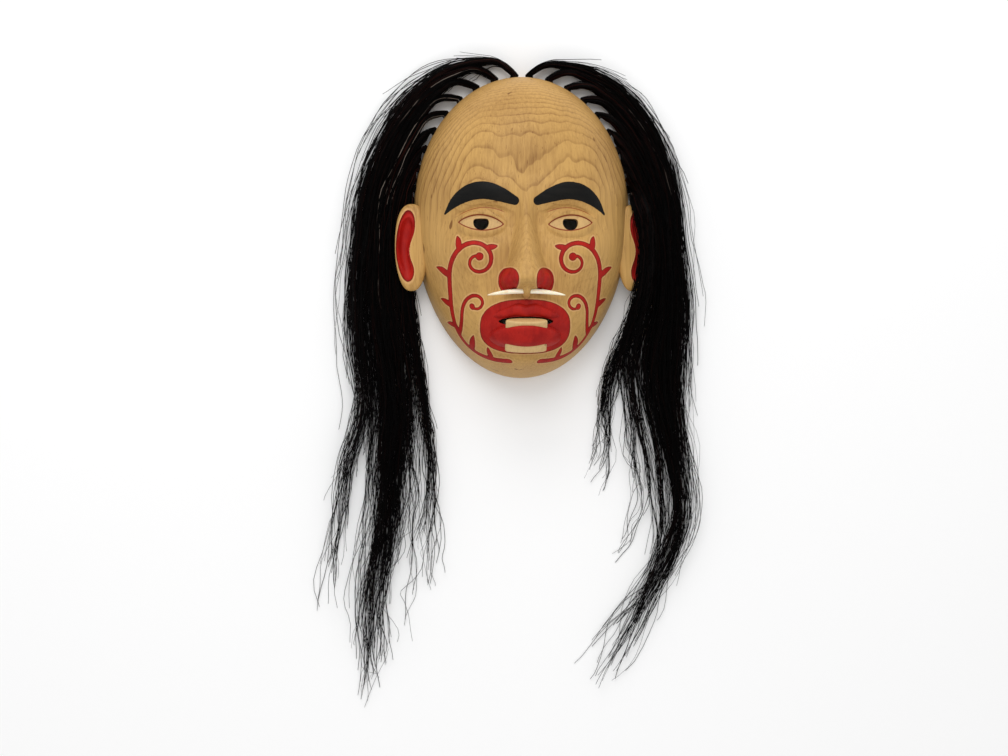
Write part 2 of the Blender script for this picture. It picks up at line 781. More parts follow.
def leaves(branch, sprouts):
    """Leaves on a branch: share of its length, lean from it, length, half width and bend."""
    for share, lean, length, half_width, bend in sprouts:
        start, heading = place_on(branch, share)
        line, _ = bent_line(start, heading + lean, length, [bend, bend], 16)
        along = np.linspace(0.06, 1, len(line))
        paint_red(line, half_width * np.sin(math.pi * along**0.8) ** 0.8)


jaw_stem = stem((12, -107), 2, 85, [0.014, 0.025, 0.025, 0.013, -0.002], 2.8, 2.5)
tip, heading = place_on(jaw_stem, 1)
great_curl = stem(tip, heading, 98, [0.004, 0.042, 0.066, 0.085, 0.125, 0.22], 2.5, 1.2, bud=3.2)
fork, heading = place_on(jaw_stem, 0.54)
stem(fork, heading + 44, 54, [-0.03, -0.012, 0.06, 0.14, 0.20, 0.27], 2.1, 1.1, bud=2.6)
leaves(jaw_stem, [
    (0.15, 44, 10, 2.7, 0.03), (0.36, 46, 11, 3.0, 0.03), (0.62, -44, 7, 2.5, -0.02),
    (0.82, -42, 10, 2.8, -0.02),
])
leaves(great_curl, [
    (0.06, -42, 13, 3.1, -0.03), (0.28, -42, 11, 2.9, -0.03), (0.52, -44, 9, 2.4, -0.03),
])
highest, lowest = great_curl[0][:, 1].max(), jaw_stem[0][:, 1].min()
print("Scrollwork from y =", round(float(lowest)), "to", round(float(highest)), "mm")

# %% [markdown]
# The other red places are the field round the mouth, the wings of the nose and the hollows of the
# ears. The ear is painted by its own measure, the same bean that carved it, so the colour ends
# just outside the hollow.

# %% Mouth, nose wings and ears
np.maximum(red, oval(0, -80.5, 35, 20.8, 2.5), out=red)
for side in (-1, 1):
    np.maximum(red, oval(side * 14, WING_Y - 0.5, 7.4, 9.8, 2.2), out=red)
beside = abs(px) - EAR_X
ear_a = beside * math.cos(EAR_TURN) - (pz - EAR_Z) * math.sin(EAR_TURN)
ear_c = beside * math.sin(EAR_TURN) + (pz - EAR_Z) * math.cos(EAR_TURN)
in_ear = on_ear & (ear_c > -3) & (abs(py - EAR_Y) < EAR_HEIGHT / 2)
red[in_ear] = np.maximum(red, 4 * bean(ear_a, py - EAR_Y) + 0.4)[in_ear]
red[~outside] = FAR

# %% [markdown]
# The brows are thick black crescents, rounded at the nose and pointed at the temple. The eyes are
# outlined with one thin line, and another follows the fold of the upper lid. A thin line can't be
# kept as a narrow band of points, so the distance itself is kept, and the material draws the line
# where it is near nothing.

# %% Brows and eye lines
brow_x = 9 + 53 * np.linspace(0, 1, 50) ** 0.9
brow_y = through([(9, 16), (20, 20.5), (34, 24), (48, 20.5), (56, 14.5), (62, 7)], brow_x)
brow_widths = through([(9, 3.6), (20, 5.8), (34, 7.0), (48, 5.8), (56, 3.6), (62, 0.8)], brow_x)
black = np.maximum(*[
    stroke(np.stack([mirror * brow_x, brow_y], axis=1), brow_widths) for mirror in (1, -1)
])
black[~outside] = FAR
near_eye = outside & (abs(abs(px) - EYE_X) < 24) & (abs(py - EYE_Y) < 24)
eye_edge = np.where(near_eye, almond(px, py), FAR)
lid_line = np.where(near_eye, above_lid(px, py), FAR)
lid_ends = np.where(near_eye, 18.5 - abs(abs(px) - EYE_X + 1), FAR)
stored = {
    "red_paint": red, "black_paint": black, "eye_edge": eye_edge,
    "lid_line": lid_line, "lid_ends": lid_ends, "on_front": outside,
}
for name, values in stored.items():
    layer = carved.data.attributes.new(name, "FLOAT", "POINT")
    layer.data.foreach_set("value", np.clip(values, FAR, 9).astype(np.float32))
    print(name, "is above 0 at", int((values > 0).sum()), "points")

# %% [markdown]
# Materials and the hair are both made of nodes. A sum of many nodes is hard to read, so each
# output is wrapped as a value that can be added and multiplied like a number. Every sign in such
# a sum makes one node.

# %% Values that nodes reckon


def plug_in(socket, value):
    """Sets a socket to a number, colour or material, or links a value to it."""
    if isinstance(value, Value):
        value.tree.links.new(value.output, socket)
    else:
        socket.default_value = value


def add_node(tree, kind, inputs, **settings):
    """A new node with its inputs plugged in, and its first output as a value."""
    node = tree.nodes.new(kind)
    for name, setting in settings.items():
        setattr(node, name, setting)
    for name, value in inputs.items():
        plug_in(node.inputs[name], value)
    return Value(tree, node.outputs[0])


class Value:
    """The output of a node."""

    def __init__(self, tree, output):
        self.tree = tree
        self.output = output

    def also(self, name):
        """Another output of the same node."""
        return Value(self.tree, self.output.node.outputs[name])

    def reckon(self, operation, other=0.0):
        return add_node(self.tree, "ShaderNodeMath", {0: self, 1: other}, operation=operation)

    def __add__(self, other):
        return self.reckon("ADD", other)

    def __sub__(self, other):
        return self.reckon("SUBTRACT", other)

    def __mul__(self, other):
        return self.reckon("MULTIPLY", other)

    def __truediv__(self, other):
        return self.reckon("DIVIDE", other)

    def __pow__(self, other):
        return self.reckon("POWER", other)


def ramp(value, start, end, low=0.0, high=1.0):
    """Goes smoothly from low to high as the value goes from start to end."""
    inputs = dict(enumerate((value, start, end, low, high)))
    return add_node(value.tree, "ShaderNodeMapRange", inputs, interpolation_type="SMOOTHSTEP")


# %% Helpers for materials


def blend(share, first, second):
    inputs = {"Factor": share, 6: first, 7: second}
    return add_node(share.tree, "ShaderNodeMix", inputs, data_type="RGBA").also(2)


def noise(place, scale, detail=3.0, roughness=0.5, shift=(0, 0, 0)):
    """Cloudy noise from 0 to 1, stretched when the scale is given for each axis."""
    if isinstance(scale, tuple):
        inputs = {"Vector": place, "Location": shift, "Scale": scale}
        place = add_node(place.tree, "ShaderNodeMapping", inputs)
        scale = 1.0
    inputs = {"Vector": place, "Scale": scale, "Detail": detail, "Roughness": roughness}
    return add_node(place.tree, "ShaderNodeTexNoise", inputs)


def object_place(tree):
    return add_node(tree, "ShaderNodeTexCoord", {}).also("Object")


def attribute(tree, name):
    return add_node(tree, "ShaderNodeAttribute", {}, attribute_name=name).also("Fac")


def bump(height, distance, strength):
    inputs = {"Height": height, "Distance": distance, "Strength": strength}
    return add_node(height.tree, "ShaderNodeBump", inputs)


def srgb(red_level, green_level, blue_level):
    """A colour as seen on screen, 0 to 255, as the linear colour that a shader takes."""
    def linear(level):
        share = level / 255
        return share / 12.92 if share <= 0.04045 else ((share + 0.055) / 1.055) ** 2.4
    return (linear(red_level), linear(green_level), linear(blue_level), 1.0)


def new_material(name):
    material = bpy.data.materials.new(name)
    material.use_nodes = True
    material.node_tree.nodes.clear()
    return material, material.node_tree


def set_surface(tree, inputs):
    surface = add_node(tree, "ShaderNodeBsdfPrincipled", inputs)
    plug_in(tree.nodes.new("ShaderNodeOutputMaterial").inputs[0], surface)


# %% [markdown]
# The wood is cut from a half log, so the growth rings are cylinders about the log's middle, which
# lies behind the face. Where the carved surface cuts through them they show as contour lines:
# arches on the forehead and long lines on the cheeks. The material measures that distance for
# each point of the surface, bends it with noise, and draws a darker line where a ring passes.

# %% Wood
LOG_BEHIND = 52  # mm from the back of the mask to the middle of the log
LOG_BESIDE = -5  # and to its side from the middle of the face
RING_SPACING = 2.8
RING_WANDER = 7
RING_RIPPLE = 1.6


def wood_pattern(tree, light, dark, ring_strength):
    """Colour and grain of wood with rings about the log's middle."""
    place = object_place(tree)
    wander = noise(place, (24, 3.5, 9), 2.0, 0.45, (4.2, 0.6, 0))
    ripple = noise(place, (100, 45, 60), 1.0)
    split = add_node(tree, "ShaderNodeSeparateXYZ", {0: place})
    x = split - (MIDDLE_X + LOG_BESIDE) * MM
    z = split.also(2) + LOG_BEHIND * MM
    radius = wander * (2 * RING_WANDER * MM) + (x * x + z * z).reckon("SQRT")
    radius = ripple * (RING_RIPPLE * MM) + radius
    rings = (radius / (RING_SPACING * MM)).reckon("FRACT")
    late_wood = ramp(rings, 0.3, 0.8, 0, 0.35) + ramp(rings, 0.72, 0.9, 0, 0.65)
    late_wood = late_wood * ramp(rings, 1.0, 0.95)
    showing = ramp(noise(place, 14.0, 2.0), 0.3, 0.6, 0.35, 1.0)
    brow = (MIDDLE_Y + BROW_Y) * MM
    faded = ramp(split.also(1), brow - 0.03, brow + 0.025, 0.25, 1.0)
    share = late_wood * showing * faded * ring_strength
    fibres = noise(place, (520, 10, 520), 2.0, 0.6)
    grain = noise(place, (1500, 34, 1500), 2.0, 0.6)
    pores = noise(place, (1100, 90, 1100), 1.0, shift=(3, 1, 2))
    knots = noise(place, (150, 60, 150), 1.0, shift=(1, 7, 4))
    patches = noise(place, 17.0)
    share = share + ramp(fibres, 0.35, 0.75, 0, 0.26) + ramp(grain, 0.4, 0.8, 0, 0.16)
    share = share + ramp(patches, 0.3, 0.75, -0.12, 0.24)
    share = share + ramp(pores, 0.68, 0.76, 0, 0.45) + ramp(knots, 0.74, 0.80, 0, 0.8)
    return blend(share, light, dark), grain


# %% [markdown]
# Old paint on wood isn't even: the grain shows through a little, the brush leaves streaks, and at
# its edge the colour is a shade darker, with a thin line beside it where the wood stayed clean.
# All of it comes from the stored distances.

# %% Painted wood


def painted_wood():
    material, tree = new_material("carved_painted_wood")
    colour, grain = wood_pattern(tree, srgb(195, 153, 89), srgb(124, 84, 42), 0.46)
    place = object_place(tree)
    waver = noise(place, 380.0, 2.0) * 0.5 - 0.25
    red_in = attribute(tree, "red_paint") + waver
    beside = ramp(red_in, -1.5, -0.5) * ramp(red_in, 0.1, -0.2)
    colour = blend(beside * 0.4, colour, srgb(226, 176, 124))
    worn = ramp(noise(place, (130, 50, 130), 4.0, 0.6), 0.35, 0.7)
    red_body = blend(worn, srgb(172, 26, 16), srgb(148, 14, 9))
    red_body = blend(ramp(grain, 0.45, 0.8, 0, 0.35), red_body, srgb(118, 12, 8))
    red_colour = blend(ramp(red_in, 0.3, 0.95), srgb(112, 16, 10), red_body)
    red_mask = ramp(red_in, -0.12, 0.12)
    edge = attribute(tree, "eye_edge")
    colour = blend(ramp(edge, 0.0, 0.6) * 0.22, colour, srgb(232, 204, 158))
    outline = ramp((edge - 0.1).reckon("ABSOLUTE"), 0.62, 0.34)
    outline = outline * ramp(attribute(tree, "on_front"), 0.85, 1.0)
    fold = ramp(attribute(tree, "lid_line").reckon("ABSOLUTE"), 0.5, 0.22)
    fold = fold * ramp(attribute(tree, "lid_ends"), 0.0, 4.0)
    colour = blend(fold * 0.75, colour, srgb(140, 62, 34))
    colour = blend(outline * 0.92, colour, srgb(122, 38, 20))
    colour = blend(red_mask, colour, red_colour)
    black_mask = ramp(attribute(tree, "black_paint") + waver, -0.15, 0.15)
    brushed = ramp(noise(place, (60, 260, 60)), 0.4, 0.75)
    black_colour = blend(brushed, srgb(4, 4, 3), srgb(16, 14, 11))
    colour = blend(black_mask, colour, black_colour)
    paint = red_mask.reckon("MAXIMUM", black_mask)
    skin = grain * (paint * -0.6 + 1.0)
    set_surface(tree, {
        "Base Color": colour,
        "Roughness": paint * 0.06 + ramp(grain, 0.3, 0.8, 0.46, 0.60),
        "Specular IOR Level": 0.18,
        "Normal": bump(skin + paint * 0.5, 0.00015, 0.5),
    })
    return material


def plain_wood():
    material, tree = new_material("pale_plug_wood")
    colour, grain = wood_pattern(tree, srgb(204, 170, 114), srgb(150, 110, 62), 0.2)
    finish = {"Base Color": colour, "Roughness": 0.5, "Normal": bump(grain, 0.00015, 0.5)}
    set_surface(tree, finish)
    return material


# %% [markdown]
# Bone is paler than any wood. It has long streaks along the pin and yellow stains, and the light
# goes a little way into it.

# %% Bone


def polished_bone():
    material, tree = new_material("polished_bone")
    place = object_place(tree)
    streaks = noise(place, (40, 900, 900))
    stains = ramp(noise(place, 60.0), 0.55, 0.8, 0, 0.5)
    colour = blend(ramp(streaks, 0.4, 0.75), srgb(252, 243, 218), srgb(232, 212, 170))
    set_surface(tree, {
        "Base Color": blend(stains, colour, srgb(212, 184, 134)),
        "Roughness": 0.3,
        "Subsurface Weight": 0.1,
        "Subsurface Scale": 0.002,
        "Normal": bump(streaks, 0.0001, 0.4),
    })
    return material


# %% Give the carved pieces their finish
SHARP_EDGE = math.radians(38)
for piece, node, slot, material in (
    (carved, "carved_face", "carved_wood", painted_wood()),
    (lip_plug, "lip_plug", "plug_wood", plain_wood()),
    (nose_pin, "nose_pin", "bone", polished_bone()),
):
    piece.data.materials.clear()
    piece.data.materials.append(material)
    piece.data.shade_smooth()
    piece.data.set_sharp_from_angle(angle=SHARP_EDGE)
    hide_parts(node)
    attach(piece, "root")
print("Materials:", [material.name for material in bpy.data.materials])

# %% [markdown]
# Each lock of hair leaves its peg hole, bends round into the mass beside the face and runs down to
# its tip. All locks of one side share rows, first one beside each root and then those below, so
# that they lie side by side as combed hair does. The rows are the CAD model's own.

# %% Where the locks lie
LOCK_HALF_WIDTH = 3.4
FREE_WIDTH = 2  # on a side where no other lock lies
CLOSING_ROW, CLOSING_WIDTH = 5, 4.4  # from this root on, the hair fans out as far as the rim
MASS_HALF_HEIGHT = 8
EAR_HALF_HEIGHT, ABOVE_EAR = 5.5, 28.5  # of a lock that lies over the ear
TIP_HALF_HEIGHT = 1.6
ABOVE_FLOOR = 0.4


def even(outer, inner):
    return list(np.linspace(outer, inner, LOCK_COUNT))


TRESSES = {
    "left": {
        "side": -1,
        "inner": [10, 12, 12, 10.5, 9, 5.5, 3, 2, 2],
        "outer": [19, 24.5, 29, 32, 33.5, 35.5, 37.5, 40, 43.5],
        "rows": [
            (-8, even(130, 91)), (-36, even(134, 90)), (-66, even(136, 87)),
            (-106, even(132, 81)), (-146, even(129, 76)),
            (-186, [141, 133, 120, 113, 106, 99, 91, 82, 73]),
            (-226, [146, 138, 122, 115, 108, 100, 92, 83, 73]),
            (-266, [150, 142, 128, 121, 114, 106, 98, 88, 75]),
            (-290, [152, 144, 130, 123.5, 117, 110.5, 103, 91, 75]),
        ],
        "tips": [
            (154, -328), (146, -316), (132, -349), (125, -370), (120, -382), (115, -376),
            (108, -356), (95, -330), (74, -306),
        ],
        "over_ear": [],
    },
    "right": {
        "side": 1,
        "inner": [7.5, 10, 9, 8, 5.5, 3, 1.5, 1.5, 1.5],
        "outer": [17, 22.5, 27, 31, 33.5, 35.5, 37, 38.5, 40.5],
        "rows": [
            (-8, even(126, 95)), (-36, even(129.5, 93.5)), (-62, even(133, 88)),
            (-106, even(131, 74)),
            (-146, [130, 124, 118, 112, 106, 100, 94, 85, 66]),
            (-178, [134, 129, 124, 119, 114, 109, 102, 90, 65]),
            (-226, [136, 132, 128, 124, 120, 116, 109, 94]),
            (-252, [129, 126, 123, 120, 117, 114, 111, 80]),
            (-276, [118, 115, 112, 109, 106, 103, 100]),
            (-300, [107, 103.5, 100, 96.5, 93, 89.5, 86]),
        ],
        "tips": [
            (98, -336), (84, -348), (70, -362), (59, -366), (54, -354), (50, -343),
            (58, -332), (62, -274), (60, -208),
        ],
        "over_ear": [7, 8],
    },
}


def rows_of(tress):
    rows = []
    for j in range(LOCK_COUNT):
        arc = FIRST_ROOT + (j + 0.62) * ROOT_SPACING
        shares = (j - np.arange(j + 1) + 0.5) / (j + 1)
        offsets = tress["inner"][j] + (tress["outer"][j] - tress["inner"][j]) * shares
        rows.append([beside_outline(tress["side"], arc, offset) for offset in offsets])
    for y, row in tress["rows"]:
        rows.append([np.array([tress["side"] * x, y]) for x in row])
    return rows


def lock_stations(tress, rows, k):
    """Middle, outward direction, half widths and half height of a lock, from root to tip."""
    root_arc = FIRST_ROOT + k * ROOT_SPACING
    stations = []
    for depth in (ROOT_DEPTH - 1, 0, -2.5):
        at = beside_outline(tress["side"], root_arc, -depth)
        ahead = beside_outline(tress["side"], root_arc, 5 - depth) - at
        across = np.array([-ahead[1], ahead[0]]) / np.linalg.norm(ahead) * tress["side"]
        stations.append((np.append(at, ROOT_Z), across, STEM_RADIUS, STEM_RADIUS, STEM_RADIUS))
    tip = np.array([tress["side"] * tress["tips"][k][0], tress["tips"][k][1]])
    for j, row in enumerate(rows):
        if j < k or k >= len(row):
            continue
        at = row[k]
        before = row[k - 1] if k > 0 else None
        after = row[k + 1] if k + 1 < len(row) else None
        if before is not None:
            across = before - at
        elif after is not None:
            across = at - after
        else:
            across = beside_outline(tress["side"], root_arc + ROOT_SPACING / 2, 1)
            across = across - beside_outline(tress["side"], root_arc + ROOT_SPACING / 2, 0)
        across = across / np.linalg.norm(across)
        free = CLOSING_WIDTH if k == j >= CLOSING_ROW else FREE_WIDTH
        room = [
            free if other is None else min(LOCK_HALF_WIDTH, np.linalg.norm(at - other) / 2)
            for other in (before, after)
        ]
        thin = float(step(0, 150, at[1] - tip[1]))
        over_ear = 0.0
        if k in tress["over_ear"]:
            over_ear = float(step(-98, -60, at[1]) * step(42, 20, at[1]))
        full = MASS_HALF_HEIGHT + (EAR_HALF_HEIGHT - MASS_HALF_HEIGHT) * over_ear
        half_height = TIP_HALF_HEIGHT + (full - TIP_HALF_HEIGHT) * thin
        middle = np.append(at, half_height + ABOVE_FLOOR + ABOVE_EAR * over_ear)
        stations.append((middle, across, room[0], room[1], half_height))
    last = stations[-1]
    stations.append((np.append(tip, 2.0), last[1], last[2], last[3], TIP_HALF_HEIGHT))
    return stations


# %% [markdown]
# The stations are joined by a flowing line. It is drawn through them first, then smoothed so
# that no corner is left, and cut into steps that are short where the hair bends and long where
# it hangs straight.

# %% Guide lines
GUIDE_POINTS = 80
STEP_AT_ROOT = 18
STEP_AT_TIP = 7.5
STEP_BEND = math.radians(6)
SMOOTHING_STEP = 2.5
STEM_POINTS = 13


def even_steps(values, costs, count):
    """So many rows of the table of values that each step between two costs the same."""
    spent = np.append(0, np.cumsum(costs))
    wanted = np.linspace(0, spent[-1], count)
    return np.stack([np.interp(wanted, spent, column) for column in values.T], axis=1)


def step_lengths(values):
    return np.linalg.norm(np.diff(values[:, :3], axis=0), axis=1)


def flowing_line(stations):
    values = np.array([[*middle, *across, *sizes] for middle, across, *sizes in stations])
    ends = np.concatenate([[2 * values[0] - values[1]], values, [2 * values[-1] - values[-2]]])
    u = np.linspace(0, 1, 12, endpoint=False)[:, None]
    spans = [
        0.5 * (2 * b + (c - a) * u + (2 * a - 5 * b + 4 * c - d) * u**2
               + (3 * b - a - 3 * c + d) * u**3)
        for a, b, c, d in zip(ends, ends[1:], ends[2:], ends[3:])
    ]
    line = np.concatenate(spans + [values[-1:]])
    lengths = step_lengths(line)
    line = even_steps(line, lengths, int(lengths.sum() / SMOOTHING_STEP))
    for held, rounds in ((4, 8), (STEM_POINTS, 40)):
        for _ in range(rounds):
            line[held:-1] = (line[held - 1: -2] + 2 * line[held:-1] + line[held + 1:]) / 4
    lengths = step_lengths(line)
    headings = np.diff(line[:, :3], axis=0) / lengths[:, None]
    bends = np.append(0, np.arccos(np.clip((headings[1:] * headings[:-1]).sum(axis=1), -1, 1)))
    step_here = np.linspace(STEP_AT_ROOT, STEP_AT_TIP, len(lengths))
    line = even_steps(line, lengths / step_here + bends / STEP_BEND, GUIDE_POINTS)
    line[:, 3:5] /= np.linalg.norm(line[:, 3:5], axis=1)[:, None]
    return line


# %% [markdown]
# A lock holds hundreds of hairs, far too many to draw by hand. Geometry Nodes copies one guide
# line many times and gives each copy its own place in the lock. Its sizes are named inputs, so
# that every lock can have its own, and a seed for each lock keeps the result the same every time.

# %% The hair tree and its inputs
HAIR_INPUTS = [
    ("Hairs", "NodeSocketInt", 200), ("Seed", "NodeSocketInt", 1),
    ("Wisp", "NodeSocketInt", 8), ("Gather", "NodeSocketFloat", 0.88),
    ("Drift", "NodeSocketFloat", 0.013), ("Wander", "NodeSocketFloat", 0.030),
    ("Stray", "NodeSocketFloat", 0.003), ("Spread", "NodeSocketFloat", 1.15),
    ("Shortest", "NodeSocketFloat", 0.6), ("Thinning", "NodeSocketFloat", 1.25),
    ("Loose", "NodeSocketFloat", 0.16), ("Radius", "NodeSocketFloat", 0.00031),
]
hair_tree = bpy.data.node_groups.new("locks_of_hair", "GeometryNodeTree")
sockets = hair_tree.interface
sockets.new_socket("Geometry", in_out="INPUT", socket_type="NodeSocketGeometry")
for name, kind, value in HAIR_INPUTS:
    sockets.new_socket(name, in_out="INPUT", socket_type=kind).default_value = value
sockets.new_socket("Geometry", in_out="OUTPUT", socket_type="NodeSocketGeometry")
HAIR_SOCKETS = {
    item.name: item.identifier for item in sockets.items_tree if item.in_out == "INPUT"
}
guide = add_node(hair_tree, "NodeGroupInput", {})
given = {name: guide.also(name) for name, *_ in HAIR_INPUTS}
print("Hair tree inputs:", list(given))

# %% Helpers for the hair tree


def hair_node(kind, inputs, **settings):
    return add_node(hair_tree, kind, inputs, **settings)


def plus(first, second):
    return hair_node("ShaderNodeVectorMath", {0: first, 1: second}, operation="ADD")


def scaled(vector, factor):
    return hair_node("ShaderNodeVectorMath", {0: vector, "Scale": factor}, operation="SCALE")


def combined(x, y, z):
    return hair_node("ShaderNodeCombineXYZ", {"X": x, "Y": y, "Z": z})


def named(name, kind="FLOAT"):
    return hair_node("GeometryNodeInputNamedAttribute", {"Name": name}, data_type=kind)


def waves(x, y, detail):
    """Smooth waves about nothing, in all directions and other ones for each lock."""
    field = noise(combined(x, y, given["Seed"] * 3.17), 1.0, detail).also("Color")
    return plus(field, (-0.5, -0.5, -0.5))


def chance(of, low, high, draw):
    """A number that is drawn between two others for each hair or wisp."""
    inputs = {2: low, 3: high, "ID": of, "Seed": given["Seed"] * 31.0 + draw}
    return hair_node("FunctionNodeRandomValue", inputs, data_type="FLOAT").also(1)


def spot(of, draw):
    """A random spot in a disc, as its shares sideways and upwards."""
    angle = chance(of, 0, 2 * math.pi, draw)
    out = chance(of, 0, 1, draw + 1.0).reckon("SQRT")
    return angle.reckon("COSINE") * out, angle.reckon("SINE") * out


# %% [markdown]
# Near the root each hair keeps its own spot in the lock. Towards the tip it moves over to the
# spot of its wisp, which is a small bunch of hairs that clings together as it does on any head.

# %% Every hair in its place
curve = hair_node("GeometryNodeMeshToCurve", {"Mesh": guide})
inputs = {"Geometry": curve, "Amount": given["Hairs"]}
copies = hair_node("GeometryNodeDuplicateElements", inputs, domain="SPLINE")
hair = copies.also("Duplicate Index")
wisp = (hair / given["Wisp"]).reckon("FLOOR")
along = hair_node("GeometryNodeSplineParameter", {}).also("Factor")
gather = given["Gather"] * ramp(along, 0.2, 0.65)
own_spot = spot(hair, 1.0)
sideways, upwards = [
    (of_wisp - of_hair) * gather + of_hair for of_hair, of_wisp in zip(own_spot, spot(wisp, 11.0))
]
outward = sideways.reckon("MAXIMUM", 0.0) * named("room_out")
inward = sideways.reckon("MINIMUM", 0.0) * named("room_in")
breadth = (outward + inward) * given["Spread"] * ramp(along, 0.75, 1.0, 1.0, 0.4)
across = named("across", "FLOAT_VECTOR")
place = plus(hair_node("GeometryNodeInputPosition", {}), scaled(across, breadth))
place = plus(place, combined(0.0, 0.0, upwards * named("half_height")))

# %% [markdown]
# No two hairs hang alike. The wisps drift apart towards the tip, each hair wanders in slow waves
# and has small kinks of its own, and a few restless ones do it most.

# %% Drift, wander and kinks
WAVES_OF_WISP = 3.2
WAVES_OF_HAIR = 6.5
KINKS = 19.0
KINK_SIZE = 0.2

drift = waves(along * WAVES_OF_WISP, wisp * 5.31, 1.0)
place = plus(place, scaled(drift, along ** 1.5 * given["Drift"] * 4.0))
restless = chance(hair, 0, 1, 3.0) ** 2.2
reach = (along ** 1.6 + 0.14) * ramp(along, 0.0, 0.09) * given["Wander"]
reach = reach * (restless * 1.5 + 0.2)
place = plus(place, scaled(waves(along ** 1.6 * WAVES_OF_HAIR, hair * 1.37, 0.0), reach))
kink = ramp(along, 0.02, 0.14) * given["Wander"] * KINK_SIZE
place = plus(place, scaled(waves(along * KINKS, hair * 2.71, 0.0), kink))

# %% [markdown]
# A few unruly hairs stand off to the side where the lock starts to hang, and a share of broken
# ones leave it and end early. No hair may go through the floor, so each has a least height.

# %% Stray hairs
LOWEST, HIGHEST = 0.0004, 0.0030  # a hair on the floor lies between these heights

unruly = chance(hair, 0, 1, 9.0) ** 8.0
swell = ramp(along, 0.03, 0.2) * ramp(along, 0.35, 0.8, 1.0, 0.4)
broken = chance(hair, 0, 1, 14.0).reckon("LESS_THAN", given["Loose"])
own_end = chance(hair, 0, 1, 15.0) ** 1.6 * 0.66 + 0.09
leaving = ((along / own_end) ** 2.5).reckon("MINIMUM", 1.0) * broken
stray = unruly * swell + leaving * chance(hair, 0.1, 1.3, 16.0)
stray = stray * own_spot[0].reckon("SIGN") * given["Stray"]
place = plus(place, scaled(across, stray))
floor_gap = combined(-9.0, -9.0, chance(hair, LOWEST, HIGHEST, 5.0))
place = hair_node("ShaderNodeVectorMath", {0: place, 1: floor_gap}, operation="MAXIMUM")
moved = hair_node("GeometryNodeSetPosition", {"Geometry": copies, "Position": place})

# %% [markdown]
# Each hair is cut to its own length, near that of its wisp, and becomes a thin tube with three
# sides, which is enough for a strand and keeps the mesh light. Its tone and its distance from the
# root are stored for the material.

# %% Cut to length and made solid
together = (chance(wisp, 0, 0.6, 6.0) + chance(hair, 0, 0.4, 4.0)) ** given["Thinning"]
spare = given["Shortest"] * -1.0 + 1.12
keep = together * spare + given["Shortest"]
keep = keep.reckon("MINIMUM", chance(hair, 0.93, 1.0, 13.0))
keep = keep * (broken * -1.0 + 1.0) + own_end * broken
strand = hair_node("GeometryNodeTrimCurve", {"Curve": moved, "End": keep}, mode="FACTOR")
for name, value in (("tone", chance(hair, 0, 1, 7.0)), ("from_root", along)):
    inputs = {"Geometry": strand, "Name": name, "Value": value}
    strand = hair_node(
        "GeometryNodeStoreNamedAttribute", inputs, data_type="FLOAT", domain="POINT"
    )
three_sided = hair_node("GeometryNodeCurvePrimitiveCircle", {"Resolution": 3, "Radius": 1.0})
taper = along ** 2.5 * -0.3 + 1.0
fineness = restless * -0.45 + chance(hair, 0.85, 1.3, 8.0)
tubes = hair_node("GeometryNodeCurveToMesh", {
    "Curve": strand, "Profile Curve": three_sided, "Fill Caps": True,
    "Scale": given["Radius"] * taper * fineness,
})


def black_hair():
    """Black with a rusty gleam near the root, and a very few pale hairs."""
    material, tree = new_material("black_hair")
    tone = attribute(tree, "tone")
    from_root = attribute(tree, "from_root")
    rusty = ramp(tone, 0.7, 1.0) * ramp(from_root, 0.45, 0.05, 0.25, 1.0)
    pale = ramp(tone, 0.986, 0.988) * ramp(from_root, 0.42, 0.3)
    colour = blend(rusty, srgb(4, 3, 3), srgb(44, 17, 12))
    colour = blend(pale, colour, srgb(122, 111, 102))
    set_surface(tree, {"Base Color": colour, "Roughness": 0.4, "Specular IOR Level": 0.05})
    return material


real = hair_node("GeometryNodeRealizeInstances", {0: tubes})
finished = hair_node("GeometryNodeSetMaterial", {"Geometry": real, "Material": black_hair()})
plug_in(hair_tree.nodes.new("NodeGroupOutput").inputs["Geometry"], finished)
print("Hair tree:", len(hair_tree.nodes), "nodes")

# %% [markdown]
# The locks in the middle of each side are the fullest, and those at its edges thin out sooner.
# The first two of each side, along the outer edge, have the most loose hairs.

# %% Grow the locks
LOCK_LOOKS = {  # from the first lock at the crown to the last one above the ear
    "left": {
        "Hairs": [120, 110, 95, 125, 135, 130, 115, 95, 95],
        "Shortest": [0.38, 0.36, 0.36, 0.46, 0.50, 0.48, 0.30, 0.28, 0.36],
        "Thinning": [1.2, 1.3, 1.8, 1.7, 1.5, 1.7, 2.3, 2.2, 1.5],
        "Loose": [0.42, 0.26] + [0.14] * 7,
        "Stray": [0.013, 0.009] + [0.004] * 7,
        "Wander": [0.030, 0.028] + [0.030] * 6 + [0.026],
    },
    "right": {
        "Hairs": [115, 120, 125, 115, 110, 110, 95, 105, 120],
        "Shortest": [0.36, 0.40, 0.46, 0.48, 0.44, 0.30, 0.26, 0.28, 0.34],
        "Thinning": [2.1, 1.8, 1.4, 1.3, 2.0, 3.3, 3.4, 1.9, 1.5],
        "Loose": [0.34, 0.22] + [0.14] * 7,
        "Stray": [0.009, 0.006] + [0.004] * 7,
        "Wander": [0.028, 0.028, 0.026, 0.024, 0.022, 0.022, 0.024, 0.024, 0.022],
    },
}
THINNEST = 0.4  # mm, the least room that a lock gets


